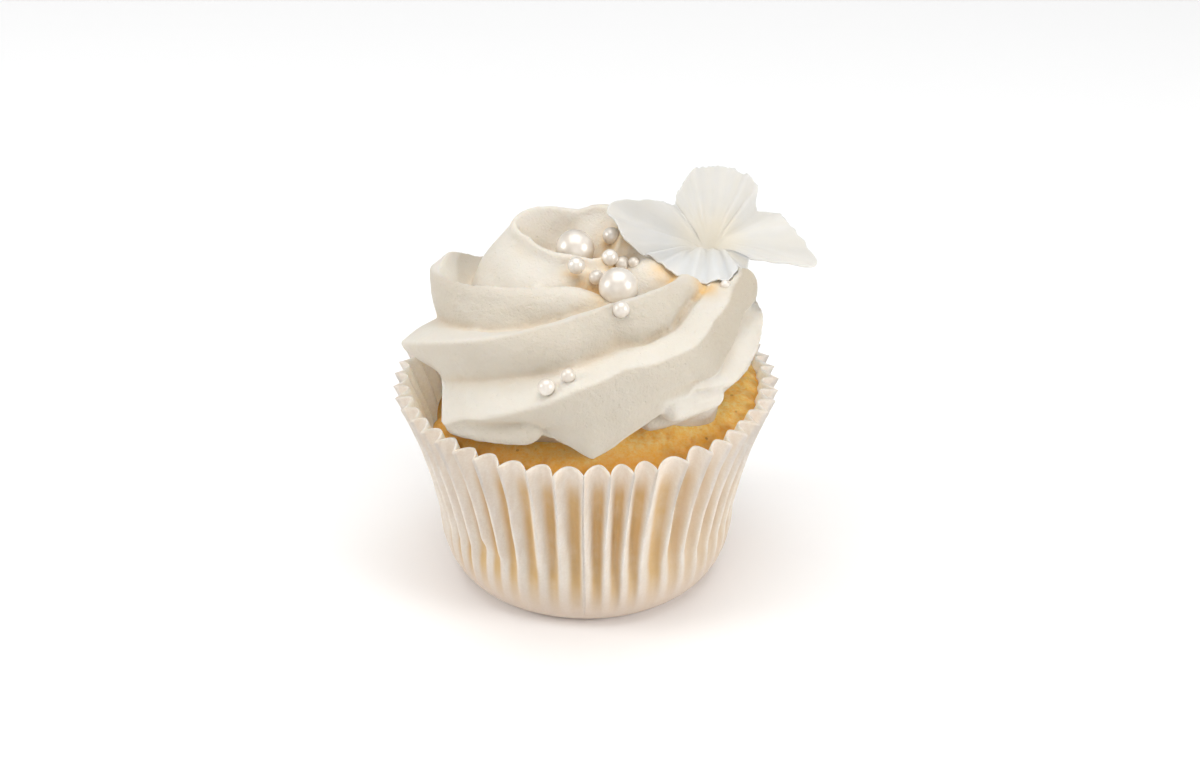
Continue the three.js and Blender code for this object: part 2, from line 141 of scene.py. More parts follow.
# Each valley by its number round the rope: (azimuth, factor on its depth, where its crease lies from the
# upper ridge, how much the flank above the crease bulges, how deep that flank is where it meets the crease).
VALLEYS = {
    0: [(100, 1, 0.5, 1.2, 1), (135, 0.3, 0.5, 1.2, 1), (200, 0.3, 0.5, 1.2, 1), (240, 1, 0.5, 1.2, 1)],
    1: [(150, 1.3, 0.62, 1.15, 1), (195, 1.25, 0.62, 1.15, 1), (230, 1.0, 0.62, 1.5, 1),
        (300, 0.9, 0.6, 1.8, 1)],
    2: [(180, 1.0, 0.48, 1.2, 1), (215, 0.95, 0.48, 1.2, 1), (245, 1.0, 0.6, 1.8, 1),
        (262, 1.0, 0.66, 2.2, 1), (285, 0.85, 0.58, 1.7, 1), (330, 0.9, 0.5, 1.2, 1)],
    3: [(219, 0.6, 0.5, 1.2, 1), (240, 0.5, 0.4, 1.2, 1), (255, 0.32, 0.5, 1.2, 1),
        (290, 0.24, 0.5, 1.2, 1), (304, 0.25, 0.8, 1.2, 1), (312, 0.3, 0.82, 1.2, 0.5),
        (322, 0.4, 0.63, 1.2, 0.1), (332, 0.5, 0.55, 1.2, 0.1), (339, 0.6, 0.46, 1.2, 0.12),
        (352, 0.55, 0.63, 1.2, 0.2), (366, 1.1, 0.6, 1.2, 0.8), (400, 1, 0.55, 1.2, 1)],
    4: [(279, 0.6, 0.5, 1.2, 1), (330, 1.0, 0.5, 1.2, 1), (400, 1, 0.5, 1.2, 1)],
}
# Every other valley.
PLAIN_VALLEY = [(0, 1, 0.5, 1.2, 1), (1, 1, 0.5, 1.2, 1)]
# (azimuth, share) of how far down valley 3 its rough flank, with its painted shade, reaches on the right,
# where it is widest.
WIDE_FLANK = [(304, 1), (312, 0.82), (322, 0.63), (332, 0.55), (339, 0.46), (352, 0.63)]
# (azimuth, turn) of the lip of the deep hollow on the left, between the ring and the curl.
HOLLOW_LIP = [(0, 81), (168, 81), (180, 82), (190, 91), (200, 101), (215, 116), (240, 130), (360, 130)]
HOLLOW_FLOOR = 52.0
# How far the ring dips behind the curl.
DIP_IN, DIP_DOWN = 1.6, 5.0
# Distance from the middle to the rope's upright left face.
LEFT_FACE = 25.4
# Rounded ends of the first lap on the sponge: azimuth, radius and height of each end, half width and
# half height.
LOBES = [
    ((215, 29.6, 39.4), (256, 30.6, 44.1), 2.2, 2.2), ((291, 25.4, 43.2), (319, 25.8, 43.0), 2.8, 2.1),
    ((297, 29.0, 46.6), (321.5, 29.4, 46.2), 2.8, 2.6),
]
# The cream in the middle of the ring: its radius below and above, its depth and the height of its middle.
BED = (11, 19, 11, 42.5)
# The cream heaped on it, under the beads and the flower: middle, half width, half height.
MOUNDS = [(12.5, 0, 54, 10, 11), (8.5, 2.5, 61, 5, 5), (22.3, -7.2, 58.6, 3.4, 3.6)]
RIM_CLEAR = CASE_HEIGHT + SCALLOP + 0.5
# The curl at the rope's end: (azimuth about its centre, radius, height) of its lip.
CURL_CENTRE = (-5.5, 3.0)
CURL_LIP = [
    (-20, 11.4, 64.6), (8, 12.6, 67.7), (30, 11.5, 68.9), (48, 10.2, 68.2), (62, 9.4, 67.1), (80, 9, 67.1),
    (110, 8.8, 67.6), (140, 8.3, 67.6), (163, 7.8, 67.2), (180, 6.4, 66.8), (196, 5.2, 66.4),
    (220, 5.0, 66.2), (247, 5.6, 66.0), (275, 6.6, 65.8), (298, 7.7, 65.4), (316, 9.8, 64.8),
    (340, 11.4, 64.6),
]

# ---- sizes of the decoration ----
LARGE_BEAD = 3.5
LARGE_BEADS = {"bead_large_1": (-1.9, 1.2, 64.0), "bead_large_2": (5.8, -11.9, 63.2)}
SMALL_BEADS = [
    (4.6, 3.6, 65.4, 1.6), (4.3, -2.7, 64.3, 1.5), (-1.6, -7.3, 65.1, 1.55), (6.5, -2.4, 62.9, 1.4),
    (1.9, -7.5, 62.8, 1.35), (6.2, -21.1, 63.7, 1.5), (-6.7, -29.8, 53.2, 1.5), (-2.9, -28.7, 54.9, 1.25),
    (8.5, -3.2, 63.6, 1.0), (22.0, -8.1, 61.0, 0.9), (24.6, -8.6, 61.9, 0.9), (22.3, -10.3, 60.8, 0.7),
]
# (x, y, z, reach) of the places by the beads and under the flower where light soaks through the cream.
WARM_SPOTS = [
    (7.1, 2.5, 62.5, 4.6), (3.1, -12.5, 60.0, 2.8), (13.8, -4.3, 62.0, 2.6), (20.8, -9.0, 61.0, 2.7),
    (1.0, -8.6, 61.0, 3.2), (16.5, -7.0, 61.5, 2.2),
]
FLOWER_CENTRE = Vector((22.0, 2.0, 65.0))
PETAL = 0.35
THROAT_DEPTH = 2.4
VEINS = 26
# Azimuth where the petals' edge starts and ends.
SEAM = -29
# (azimuth about the flower's centre, reach, height) round the petals' edge.
PETAL_EDGE = [
    (SEAM, 7.9, -2), (-12, 13.6, -3), (-7, 17.2, -4.0), (0, 19.4, -3.7), (5, 17.8, -1.4), (15.5, 15.4, 1),
    (30, 14.4, 2), (37.5, 10.8, 3), (44, 12.4, 6.5), (56, 12.3, 7.5), (70, 12.8, 8.6), (84, 13, 9),
    (100, 12.2, 8.5), (118, 10.2, 7), (130, 9.2, 5), (134, 8.6, 3.5), (150, 9.8, 5), (158.5, 12.6, 6),
    (169, 18.2, 6), (186, 16.6, 4.5), (197, 15.6, 2.7), (204, 13.2, 0.1), (211, 11.4, -1.1),
    (221, 10.9, -1.9), (232, 10.6, -2.3), (241, 10.5, -2.6), (263, 10.3, -2.8), (285, 9.7, -2.8),
    (307, 8.2, -2.6), (315, 7.0, -2.4), (322, 8.2, -3.3), (331, 7.9, -2),
]
# (first azimuth, last azimuth) of each petal; each starts over the end of the one before.
PETALS = [(SEAM, 37.5), (37.5, 134), (134, 206), (206, 331)]
# (azimuth, height, width in degrees) of the soft folds from the throat to the edge.
FOLDS = [
    (54, 0.75, 4), (47, -0.5, 3.5), (102, 0.5, 5), (120, -0.3, 5), (84, -0.35, 8), (3, -0.5, 7),
    (172, -0.5, 6), (150, 0.3, 6), (250, 0.35, 5), (262, -0.35, 5), (276, 0.4, 5), (290, -0.35, 5),
    (302, 0.35, 5), (222, 0.4, 6),
]


# ---- small maths ----
def lerp(a, b, f):
    return a + (b - a) * f


def smooth(a, b, x):
    """0 below a, 1 above b, and a soft step between."""
    f = min(1.0, max(0.0, (x - a) / (b - a)))
    return f * f * (3 - 2 * f)


def ramp(a, b, x):
    """smooth() for an array x."""
    f = np.clip((x - a) / (b - a), 0, 1)
    return f * f * (3 - 2 * f)


def chance(i):
    """A repeatable number in 0..1 for a whole number i."""
    v = sin(i * 127.1 + 11.7) * 43758.5453
    return v - floor(v)


def spline(rows, u):
    """The smooth curve through rows (key, value, ...) at key u."""
    last = len(rows) - 1
    if u <= rows[0][0]:
        return rows[0][1:]
    if u >= rows[last][0]:
        return rows[last][1:]
    i = 0
    while u > rows[i + 1][0]:
        i += 1
    start, end = rows[i], rows[i + 1]
    before, after = rows[max(i - 1, 0)], rows[min(i + 2, last)]
    h = end[0] - start[0]
    f = (u - start[0]) / h
    # The weights of a cubic Hermite curve.
    h00, h10, h01, h11 = 2*f**3 - 3*f**2 + 1, f**3 - 2*f**2 + f, 3*f**2 - 2*f**3, f**3 - f**2
    out = []
    for k in range(1, len(start)):
        m0 = (end[k] - before[k]) / (end[0] - before[0])
        m1 = (after[k] - start[k]) / (after[0] - start[0])
        out.append(h00 * start[k] + h10 * h * m0 + h01 * end[k] + h11 * h * m1)
    return out


def polar(r, azimuth, z):
    a = radians(azimuth)
    return r * cos(a), r * sin(a), z


def ripple(x, y, z, size):
    """Smooth noise in -1..1 whose lumps are about `size` mm wide."""
    return noise.noise(Vector((x, y, z)) / size)


# ---- meshes ----
def sheet(columns, rows, place):
    """A grid laid on the surface place(u, v), u and v from 0 to 1, with the edges that meet joined."""
    bm = bmesh.new()
    bmesh.ops.create_grid(bm, x_segments=columns, y_segments=rows, size=0.5)
    for vert in bm.verts:
        vert.co = Vector(place(vert.co.x + 0.5, vert.co.y + 0.5)) * MM
    bmesh.ops.remove_doubles(bm, verts=bm.verts, dist=1e-7)
    return bm


def join(bm, other):
    """Adds another bmesh to bm and frees it."""
    mesh = bpy.data.meshes.new("part")
    other.to_mesh(mesh)
    other.free()
    bm.from_mesh(mesh)
    bpy.data.meshes.remove(mesh)


def piece(name, bm, material):
    """Turns a bmesh into a piece that rides on the root, and frees it."""
    mesh = bpy.data.meshes.new(name)
    bm.to_mesh(mesh)
    bm.free()
    obj = bpy.data.objects.new(name, mesh)
    bpy.context.scene.collection.objects.link(obj)
    return dress(obj, material)


def dress(obj, material):
    """Gives a piece its material, smooth shading and body."""
    obj.data.materials.clear()
    obj.data.materials.append(material)
    obj.data.shade_smooth()
    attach(obj, "root")
    return obj


def settle(obj, *modifiers):
    """Applies modifiers, (kind, {setting: value}), to a piece's mesh."""
    for kind, settings in modifiers:
        modifier = obj.modifiers.new(kind.lower(), kind)
        for key, value in settings.items():
            setattr(modifier, key, value)
    evaluated = obj.evaluated_get(bpy.context.evaluated_depsgraph_get())
    mesh = bpy.data.meshes.new_from_object(evaluated)
    obj.modifiers.clear()
    obj.data = mesh
    return obj


def neighbour_mean(count, edges, values):
    """The mean of each point's neighbours."""
    total = np.zeros_like(values)
    np.add.at(total, edges[:, 0], values[edges[:, 1]])
    np.add.at(total, edges[:, 1], values[edges[:, 0]])
    number = np.bincount(edges.ravel(), minlength=count)[:, None]
    return total / number


def read(mesh, kind, field, width, dtype=np.float32):
    """A mesh's numbers as an array with a row for each point or edge."""
    values = np.empty(len(getattr(mesh, kind)) * width, dtype)
    getattr(mesh, kind).foreach_get(field, values)
    return values.reshape(-1, width)


def mark(mesh, marks):
    """Stores numbers for each point, by name, for the materials to read."""
    for name, values in marks.items():
        mesh.attributes.new(name, "FLOAT", "POINT").data.foreach_set("value", np.array(values, np.float32))


# ---- materials ----
def tint(code):
    """A hex sRGB colour as linear RGBA."""
    parts = [int(code[i:i + 2], 16) / 255 for i in (1, 3, 5)]
    return (*[p / 12.92 if p <= 0.04045 else ((p + 0.055) / 1.055) ** 2.4 for p in parts], 1.0)


# Settings of a node that blends two colours, and of one that maps a range with soft ends. Names repeat among
# a Mix node's sockets, so they go by number: 0 is the factor, 6 and 7 are the colours and 2 is the result.
BLEND = {"out": 2, "data_type": "RGBA"}
SOFT = {"interpolation_type": "SMOOTHSTEP"}


def node(tree, kind, inputs=(), out=0, **settings):
    """Adds a node, with inputs in order or by name that are values or links, and returns one output."""
    made = tree.nodes.new("ShaderNode" + kind)
    for key, value in settings.items():
        setattr(made, key, value)
    pairs = inputs.items() if isinstance(inputs, dict) else enumerate(inputs)
    for socket, value in pairs:
        if isinstance(value, bpy.types.NodeSocket):
            tree.links.new(value, made.inputs[socket])
        else:
            made.inputs[socket].default_value = value
    return made.outputs[out] if made.outputs else None


def material(name):
    """A material with an empty node tree, and that tree."""
    made = bpy.data.materials.new(name)
    made.use_nodes = True
    made.node_tree.nodes.clear()
    return made, made.node_tree


def whipped_buttercream():
    """Beaten butter and sugar: matt, slightly see-through, with fine air holes; painted warm shade darkens
    its crevices and painted shade its flanks, and painted warm light lies by the beads and under the flower.
    """
    made, tree = material("whipped_buttercream")
    place = node(tree, "TexCoord", out="Object")
    hollow = node(tree, "Attribute", out="Fac", attribute_name="hollow")
    glow = node(tree, "Attribute", out="Fac", attribute_name="glow")
    flank = node(tree, "Attribute", out="Fac", attribute_name="flank")
    mottle = node(tree, "TexNoise", {"Vector": place, "Scale": 1 / (9 * MM), "Detail": 3})
    mottle = node(tree, "MapRange", (mottle, 0.3, 0.7, 0.0, 1.0), **SOFT)
    colour = node(tree, "Mix", {0: mottle, 6: tint("#E0DACF"), 7: tint("#DDD6C9")}, **BLEND)
    # Painted shade on the flanks under the ridges, which turn away from the light.
    colour = node(tree, "Mix", {0: flank, 6: colour, 7: tint("#C5B8A3")}, **BLEND)
    # Painted shade, warm, in the crevices.
    colour = node(tree, "Mix", {0: hollow, 6: colour, 7: tint("#DCC6A8")}, **BLEND)
    # Painted warm light, in patches, by the beads and under the flower, for light soaking through the cream.
    patches = node(tree, "TexNoise", {"Vector": place, "Scale": 1 / (1.6 * MM), "Detail": 3})
    patches = node(tree, "MapRange", (patches, 0.35, 0.6, 0.6, 1.0), **SOFT)
    glow = node(tree, "Math", (glow, patches), operation="MULTIPLY")
    colour = node(tree, "Mix", {0: glow, 6: colour, 7: tint("#EABF77")}, **BLEND)
    # Vanilla specks, drawn about half a millimetre wide so that they show.
    speck = node(tree, "TexVoronoi", {"Vector": place, "Scale": 1 / (4.5 * MM)})
    speck = node(tree, "MapRange", (speck, 0.075, 0.045, 0.0, 1.0), **SOFT)
    sown = node(tree, "TexNoise", {"Vector": place, "Scale": 1 / (14 * MM)})
    sown = node(tree, "MapRange", (sown, 0.53, 0.6, 0.0, 0.55), **SOFT)
    speck = node(tree, "Math", (speck, sown), operation="MULTIPLY")
    colour = node(tree, "Mix", {0: speck, 6: colour, 7: tint("#A98A66")}, **BLEND)
    # The skin: sugar grain, drawn coarse so that it shows, the tooth's drag, air holes and slow swells.
    fine = node(tree, "TexNoise", {"Vector": place, "Scale": 1 / (0.45 * MM), "Detail": 3, "Roughness": 0.6})
    drag = node(tree, "TexNoise", {"Vector": place, "Scale": 1 / (0.8 * MM), "Detail": 4, "Roughness": 0.75})
    drag = node(tree, "Math", (flank, drag), operation="MULTIPLY")
    hole = node(tree, "TexVoronoi", {"Vector": place, "Scale": 1 / (1.3 * MM)})
    hole = node(tree, "MapRange", (hole, 0.05, 0.2, 0.0, 1.0), **SOFT)
    swell = node(tree, "TexNoise", {"Vector": place, "Scale": 1 / (3.2 * MM)})
    normal = node(tree, "Bump", {"Height": fine, "Distance": 0.22 * MM, "Strength": 0.65})
    normal = node(tree, "Bump", {"Height": drag, "Distance": 0.6 * MM, "Strength": 0.9, "Normal": normal})
    normal = node(tree, "Bump", {"Height": hole, "Distance": 0.14 * MM, "Strength": 0.5, "Normal": normal})
    normal = node(tree, "Bump", {"Height": swell, "Distance": 0.35 * MM, "Strength": 0.5, "Normal": normal})
    shader = node(tree, "BsdfPrincipled", {
        "Base Color": colour, "IOR": 1.46, "Specular IOR Level": 0.35, "Normal": normal,
        "Roughness": node(tree, "MapRange", (fine, 0.3, 0.7, 0.50, 0.62), **SOFT),
        "Subsurface Weight": 0.3, "Subsurface Radius": (1.0, 0.7, 0.45), "Subsurface Scale": 1.5 * MM,
    })
    node(tree, "OutputMaterial", {"Surface": shader})
    return made


def baked_sponge():
    """A baked vanilla crumb: dry, open-pored, golden where the oven caught it."""
    made, tree = material("baked_sponge")
    place = node(tree, "TexCoord", out="Object")
    crumb = node(tree, "TexNoise", {"Vector": place, "Scale": 1 / (0.9 * MM), "Detail": 5, "Roughness": 0.75})
    pale = node(tree, "MapRange", (crumb, 0.34, 0.66, 0.0, 1.0), **SOFT)
    colour = node(tree, "Mix", {0: pale, 6: tint("#FFC259"), 7: tint("#FFDF98")}, **BLEND)
    toasted = node(tree, "TexNoise", {"Vector": place, "Scale": 1 / (6 * MM), "Detail": 3})
    toasted = node(tree, "MapRange", (toasted, 0.35, 0.7, 0.0, 0.35), **SOFT)
    colour = node(tree, "Mix", {0: toasted, 6: colour, 7: tint("#F2B95E")}, **BLEND)
    # More orange low on the dome, towards its rim next to the case.
    height = node(tree, "SeparateXYZ", {"Vector": place}, out="Z")
    rim_orange = node(tree, "MapRange", (height, 38.2 * MM, 36.2 * MM, 0.0, 0.45), **SOFT)
    colour = node(tree, "Mix", {0: rim_orange, 6: colour, 7: tint("#FFAA44")}, **BLEND)
    # Open bubbles, in clusters.
    pit = node(tree, "TexVoronoi", {"Vector": place, "Scale": 1 / (2.2 * MM)})
    pit = node(tree, "MapRange", (pit, 0.17, 0.08, 0.0, 1.0), **SOFT)
    cluster = node(tree, "TexNoise", {"Vector": place, "Scale": 1 / (5 * MM)})
    cluster = node(tree, "MapRange", (cluster, 0.5, 0.58, 0.0, 1.0), **SOFT)
    pit = node(tree, "Math", (pit, cluster), operation="MULTIPLY")
    shade = node(tree, "Math", (pit, 0.45), operation="MULTIPLY")
    colour = node(tree, "Mix", {0: shade, 6: colour, 7: tint("#96602A")}, **BLEND)
    sunk = node(tree, "Math", (1.0, pit), operation="SUBTRACT")
    normal = node(tree, "Bump", {"Height": crumb, "Distance": 0.35 * MM, "Strength": 0.6})
    normal = node(tree, "Bump", {"Height": sunk, "Distance": 0.35 * MM, "Strength": 0.6, "Normal": normal})
    shader = node(tree, "BsdfPrincipled", {
        "Base Color": colour, "Roughness": 0.85, "IOR": 1.45, "Specular IOR Level": 0.25, "Normal": normal,
        "Subsurface Weight": 0.4, "Subsurface Radius": (1.0, 0.6, 0.25), "Subsurface Scale": 2.5 * MM,
    })
    node(tree, "OutputMaterial", {"Surface": shader})
    return made


def greaseproof_paper():
    """Bleached greaseproof paper, crimped in a die: white where it stands off, tan where butter soaked it."""
    made, tree = material("greaseproof_paper")
    place = node(tree, "TexCoord", out="Object")
    touch = node(tree, "Attribute", out="Fac", attribute_name="touch")
    inner = node(tree, "Attribute", out="Fac", attribute_name="inner")
    foot = node(tree, "Attribute", out="Fac", attribute_name="foot")
    # Butter soaks the grooves unevenly, and shows on the outside.
    blotch = node(tree, "TexNoise", {"Vector": place, "Scale": 1 / (7 * MM), "Detail": 4, "Roughness": 0.6})
    blotch = node(tree, "MapRange", (blotch, 0.2, 0.62, 0.7, 1.0), **SOFT)
    outside = node(tree, "MapRange", (inner, 0.0, 1.0, 1.0, 0.05), **SOFT)
    soak = node(tree, "Math", (touch, blotch), operation="MULTIPLY")
    soak = node(tree, "Math", (soak, outside), operation="MULTIPLY")
    stretched = node(tree, "Mapping", {"Vector": place, "Scale": (1.0, 1.0, 0.22)})
    streak = node(tree, "TexNoise", {"Vector": stretched, "Scale": 1 / (1.4 * MM), "Detail": 3})
    pale = node(tree, "MapRange", (streak, 0.3, 0.7, 0.0, 1.0), **SOFT)
    colour = node(tree, "Mix", {0: pale, 6: tint("#F1E5D7"), 7: tint("#EADBCB")}, **BLEND)
    # Painted shade: darker, pinker beige towards the foot, where the case curves under.
    colour = node(tree, "Mix", {0: foot, 6: colour, 7: tint("#DEC9B8")}, **BLEND)
    # Painted light: the inside face is lighter, standing in for light that comes through the thin paper.
    colour = node(tree, "Mix", {0: inner, 6: colour, 7: tint("#FFF3E6")}, **BLEND)
    colour = node(tree, "Mix", {0: soak, 6: colour, 7: tint("#D5AC76")}, **BLEND)
    # Fibres, drawn half a millimetre wide so that they show.
    fibre = node(tree, "TexNoise", {"Vector": place, "Scale": 1 / (0.5 * MM), "Detail": 3, "Roughness": 0.6})
    fleck = node(tree, "MapRange", (fibre, 0.35, 0.65, 0.0, 0.12), **SOFT)
    colour = node(tree, "Mix", {0: fleck, 6: colour, 7: tint("#C9AD8C")}, **BLEND)
    normal = node(tree, "Bump", {"Height": streak, "Distance": 0.22 * MM, "Strength": 0.5})
    normal = node(tree, "Bump", {"Height": fibre, "Distance": 0.12 * MM, "Strength": 0.6, "Normal": normal})
    shader = node(tree, "BsdfPrincipled", {
        "Base Color": colour, "Roughness": 0.62, "IOR": 1.48, "Specular IOR Level": 0.35, "Normal": normal,
        "Subsurface Weight": node(tree, "MapRange", (inner, 0.0, 1.0, 0.4, 1.0), **SOFT),
        "Subsurface Radius": (1.0, 0.8, 0.6), "Subsurface Scale": 1.2 * MM,
    })
    node(tree, "OutputMaterial", {"Surface": shader})
    return made


def pearl_dragee():
    """A polished sugar ball with a mica shell: soft white lustre with clear reflections."""
    made, tree = material("pearl_dragee")
    place = node(tree, "TexCoord", out="Object")
    cloud = node(tree, "TexNoise", {"Vector": place, "Scale": 1 / (2.6 * MM)})
    pale = node(tree, "MapRange", (cloud, 0.35, 0.65, 0.0, 1.0), **SOFT)
    grain = node(tree, "TexNoise", {"Vector": place, "Scale": 1 / (0.9 * MM)})
    shader = node(tree, "BsdfPrincipled", {
        "Base Color": node(tree, "Mix", {0: pale, 6: tint("#EFE8DE"), 7: tint("#E2D8CB")}, **BLEND),
        "Roughness": node(tree, "MapRange", (cloud, 0.3, 0.7, 0.34, 0.42), **SOFT),
        "Metallic": 0.15, "IOR": 1.55, "Coat Weight": 1.0, "Coat Roughness": 0.2, "Coat IOR": 1.5,
        "Normal": node(tree, "Bump", {"Height": grain, "Distance": 0.03 * MM, "Strength": 0.5}),
    })
    node(tree, "OutputMaterial", {"Surface": shader})
    return made


def white_petal():
    """A fresh white petal: thin, waxy and veined, with a creamy yellow throat."""
    made, tree = material("white_petal")
    place = node(tree, "TexCoord", out="Object")
    reach = node(tree, "Attribute", out="Fac", attribute_name="reach")
    vein = node(tree, "Attribute", out="Fac", attribute_name="vein")
    lip = node(tree, "Attribute", out="Fac", attribute_name="lip")
    mottle = node(tree, "TexNoise", {"Vector": place, "Scale": 1 / (5 * MM), "Detail": 3})
    mottle = node(tree, "MapRange", (mottle, 0.3, 0.7, 0.0, 1.0), **SOFT)
    colour = node(tree, "Mix", {0: mottle, 6: tint("#CDCBC7"), 7: tint("#CAC8C3")}, **BLEND)
    # Painted light on the front petal's rolled lip, which faces down and forward, away from the top light.
    colour = node(tree, "Mix", {0: lip, 6: colour, 7: tint("#E6E3DC")}, **BLEND)
    throat = node(tree, "MapRange", (reach, 0.42, 0.16, 0.0, 1.0), **SOFT)
    colour = node(tree, "Mix", {0: throat, 6: colour, 7: tint("#D3CBBD")}, **BLEND)
    veined = node(tree, "Math", (vein, 0.12), operation="MULTIPLY")
    colour = node(tree, "Mix", {0: veined, 6: colour, 7: tint("#DED8CA")}, **BLEND)
    # The waxy skin's cells, drawn coarse so that they show.
    skin = node(tree, "TexNoise", {"Vector": place, "Scale": 1 / (0.6 * MM)})
    normal = node(tree, "Bump", {"Height": vein, "Distance": 0.05 * MM, "Strength": 0.4})
    normal = node(tree, "Bump", {"Height": skin, "Distance": 0.05 * MM, "Strength": 0.5, "Normal": normal})
    shader = node(tree, "BsdfPrincipled", {
        "Base Color": colour, "Roughness": 0.55, "IOR": 1.42, "Specular IOR Level": 0.35, "Normal": normal,
        "Subsurface Weight": 0.9, "Subsurface Radius": (1.0, 0.92, 0.8), "Subsurface Scale": 1.5 * MM,
    })
    node(tree, "OutputMaterial", {"Surface": shader})
    return made


def studio_floor():
    """A white paper sweep under soft light."""
    made, tree = material("studio_floor")
    finish = {"Base Color": tint("#FFFFFF"), "Roughness": 0.9, "Specular IOR Level": 0.2}
    node(tree, "OutputMaterial", {"Surface": node(tree, "BsdfPrincipled", finish)})
    return made


# ---- paper case ----
def case_profile(share):
    """(radius, height) up the outer folds, share 0 at the edge of the base and 1 at the rim."""
    if share < CORNER_SHARE:
        a = radians(90 * share / CORNER_SHARE)
        return lerp(BASE_RADIUS, CORNER_RADIUS, sin(a)), CORNER_HEIGHT * (1 - cos(a))
    up = (share - CORNER_SHARE) / (1 - CORNER_SHARE)
    flare = 0.63 * up + 0.37 * up ** 2.26
    return lerp(CORNER_RADIUS, RIM_RADIUS, flare), lerp(CORNER_HEIGHT, CASE_HEIGHT, up)


def fold_azimuth(fold):
    """Azimuth of the fold line; fold 0 is the one nearest the front, and they count up to PLEATS."""
    near = len(FRONT_FOLDS) // 2
    i = (fold + near) % PLEATS
    if i < len(FRONT_FOLDS):
        return 270 + FRONT_FOLDS[i]
    rest = (i - len(FRONT_FOLDS) + 1) / (PLEATS - len(FRONT_FOLDS) + 1)
    wander = 1.3 * (chance(i) - 0.5)
    return 270 + lerp(FRONT_FOLDS[-1], 360 + FRONT_FOLDS[0], rest) + wander


def fold_stand(fold, height):
    """How far a fold line stands out at this height, as a share of the pleat's depth."""
    signed = fold if fold <= PLEATS // 2 else fold - PLEATS
    end = SHORT_FOLDS.get(signed)
    gone = 0.0 if end is None else 0.75 * (1 - smooth(end - 2.5, end + 2.5, height))
    return 1 - gone


def case_point(u, v):
    """A point of the paper: u goes round the folds from the front, v from the base's middle up the wall."""
    if v <= BASE_SHARE:
        r = BASE_RADIUS * v / BASE_SHARE
        arch = 0.12 * (1 - smooth(10, BASE_RADIUS, r))
        return polar(r, 270 + 360 * u, arch if r < BASE_RADIUS - 0.1 else 0)
    radius, height = case_profile((v - BASE_SHARE) / (1 - BASE_SHARE))
    pleat = min(int(u * PLEATS), PLEATS - 1)
    part = u * PLEATS - pleat
    after = (pleat + 1) % PLEATS
    a0, a1 = fold_azimuth(pleat), fold_azimuth(after)
    while a1 < a0:
        a1 += 360
    while a1 - a0 > 180:
        a1 -= 360
    share = smooth(1, 20, height) * lerp(0.55, 1, height / CASE_HEIGHT)
    # Each groove leans and wanders a little on its way down; its rounded ridge is broader below the rim.
    lean = LEAN + 0.10 * (chance(pleat + 90) - 0.5) + 0.05 * sin(height / 9 + 6 * chance(pleat + 7))
    skewed = 0.5 * part / lean if part < lean else 1 - 0.5 * (1 - part) / (1 - lean)
    crisp = (1 - abs(2 * skewed - 1) ** 2.1) ** 0.9
    fold = lerp((0.5 - 0.5 * cos(2 * pi * skewed)) ** 0.8, crisp, smooth(20, 36, height))
    depth = PLEAT_DEPTH * lerp(0.85, 1.15, chance(pleat))
    stand = lerp(fold_stand(pleat, height), fold_stand(after, height), part)
    fold = 1 - (1 - fold) * stand
    inward = depth * share * fold
    sway = 0.30 * share * sin(height / 7 + 5 * chance(pleat + 31)) * (1 - fold)
    azimuth = lerp(a0, a1, part) + sway
    wrinkle = 0.16 * share * ripple(azimuth * 0.5, height * 0.35, 3.0, 2.2)
    x, y, z = polar(radius - inward - wrinkle, azimuth, height + SCALLOP * fold * height / CASE_HEIGHT)
    if v > 0.999:
        z += 0.25 * ripple(azimuth, 7, 1, 5)
    return x, y, z


def paper_case():
    columns, rows = PLEATS * 14, 72
    bm = sheet(columns, rows, case_point)
    bmesh.ops.recalc_face_normals(bm, faces=bm.faces)
    paper = greaseproof_paper()
    case = piece("pleated_case", bm, paper)
    settle(case, ("SOLIDIFY", {"thickness": PAPER * MM, "offset": -1.0, "use_even_offset": False}))
    mark_paper(case.data)
    dress(case, paper)
    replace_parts(case, "paper_case")


def mark_paper(mesh):
    """Marks where the paper touches the cake, which side faces in, for painted light and see-through, and how
    near the foot it is, for painted shade.
    """
    lines = sorted(fold_azimuth(fold) % 360 for fold in range(PLEATS))
    lines = [lines[-1] - 360, *lines, lines[0] + 360]
    at = read(mesh, "vertices", "co", 3) / MM
    normals = read(mesh, "vertices", "normal", 3)
    r, z = np.hypot(at[:, 0], at[:, 1]), at[:, 2]
    around = np.degrees(np.arctan2(at[:, 1], at[:, 0])) % 360
    after = np.searchsorted(lines, around)
    part = (around - np.take(lines, after - 1)) / (np.take(lines, after) - np.take(lines, after - 1))
    groove = ramp(0.22, 0.52, part) * (1 - ramp(0.78, 0.97, part)) * (1 - 0.5 * ramp(296, 318, around))
    mark(mesh, {
        "touch": groove * ramp(2, 12, z) * (1 - ramp(30, 37, z)),
        "inner": (normals[:, 0] * at[:, 0] + normals[:, 1] * at[:, 1] < 0) & (r > 10),
        "foot": 1 - ramp(3, 15, z),
    })


# ---- sponge ----
def dome_at(r):
    """Height of the sponge's domed top at this radius."""
    inside = min(r, SPONGE_RADIUS) / SPONGE_RADIUS
    return DOME_HEIGHT - DOME_DROP * inside ** 2.6 - 3 * max(0.0, r - SPONGE_RADIUS)


def shrunk_at(azimuth):
    """Where the sponge drew away from the case as it cooled, 0 to 1."""
    return smooth(145, 170, azimuth) * (1 - smooth(186, 206, azimuth))


def filled_at(azimuth):
    """Where the sponge fills the case out to its folds, 0 to 1."""
    a = (azimuth + 90) % 360
    return smooth(50, 68, a) * (1 - smooth(108, 130, a))


